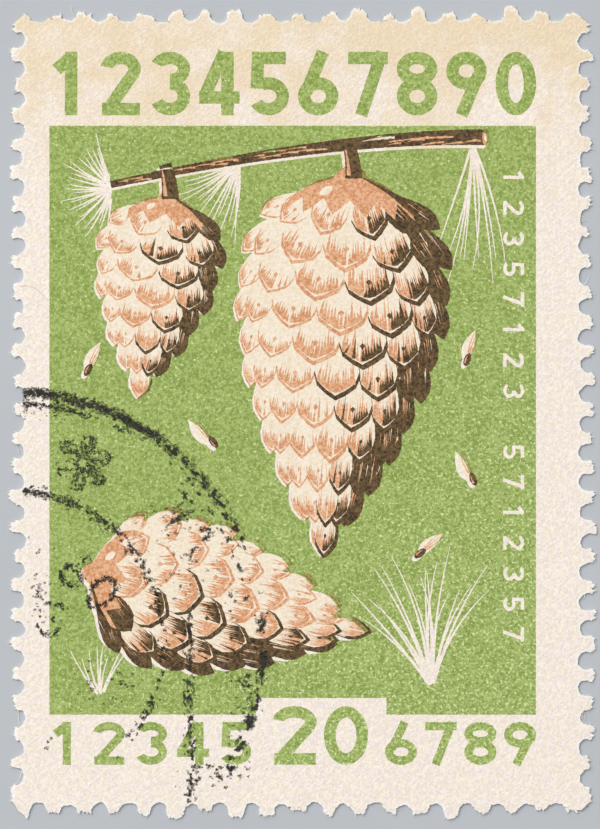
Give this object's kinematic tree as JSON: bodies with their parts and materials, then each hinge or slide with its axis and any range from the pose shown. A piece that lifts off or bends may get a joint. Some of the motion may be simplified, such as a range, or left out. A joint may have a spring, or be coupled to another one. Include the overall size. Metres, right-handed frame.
{
  "type": "postage stamp",
  "caption": "Flat rectangular paper stamp with perforated edges, gum on its back, a printed picture panel and plain numbers on its face, and part of a round cancellation.",
  "frame": {"origin": "centre of the stamp's outline over the tips of its teeth, on the gummed back", "axes": "+Z out of the printed face, +Y to the head of the stamp, +X to its right"},
  "size_m": [0.028, 0.0388, 0.0001],
  "materials": {
    "paper": "uncoated cream stamp paper, matt, lightly toned with age",
    "gum": "dried gum with a low, uneven sheen",
    "green_ink": "matt gravure ink with fine pale speckle",
    "tan_ink": "matt gravure ink with fine speckle",
    "brown_ink": "matt gravure ink",
    "postmark_ink": "broken, matt stamping ink"
  },
  "bodies": {
    "root": {"paper_sheet": "paper", "gum_layer": "gum", "green_ink_panel": "green_ink", "head_digit_1": "green_ink", "head_digit_2": "green_ink", "head_digit_3": "green_ink", "head_digit_4": "green_ink", "head_digit_5": "green_ink", "head_digit_6": "green_ink", "head_digit_7": "green_ink", "head_digit_8": "green_ink", "head_digit_9": "green_ink", "head_digit_10": "green_ink", "foot_left_digit_1": "green_ink", "foot_left_digit_2": "green_ink", "foot_left_digit_3": "green_ink", "foot_left_digit_4": "green_ink", "foot_left_digit_5": "green_ink", "value_digit_1": "green_ink", "value_digit_2": "green_ink", "foot_right_digit_1": "green_ink", "foot_right_digit_2": "green_ink", "foot_right_digit_3": "green_ink", "foot_right_digit_4": "green_ink", "hanging_cone_tan_ink": "tan_ink", "hanging_cone_brown_ink": "brown_ink", "young_cone_tan_ink": "tan_ink", "young_cone_brown_ink": "brown_ink", "fallen_cone_tan_ink": "tan_ink", "fallen_cone_brown_ink": "brown_ink", "twig_brown_ink": "brown_ink", "seed_1": "brown_ink", "seed_2": "brown_ink", "seed_3": "brown_ink", "seed_4": "brown_ink", "seed_5": "brown_ink", "postmark_outer_ring": "postmark_ink", "postmark_inner_ring": "postmark_ink", "postmark_star": "postmark_ink", "postmark_digit_1": "postmark_ink", "postmark_digit_2": "postmark_ink"}
  },
  "joints": []
}
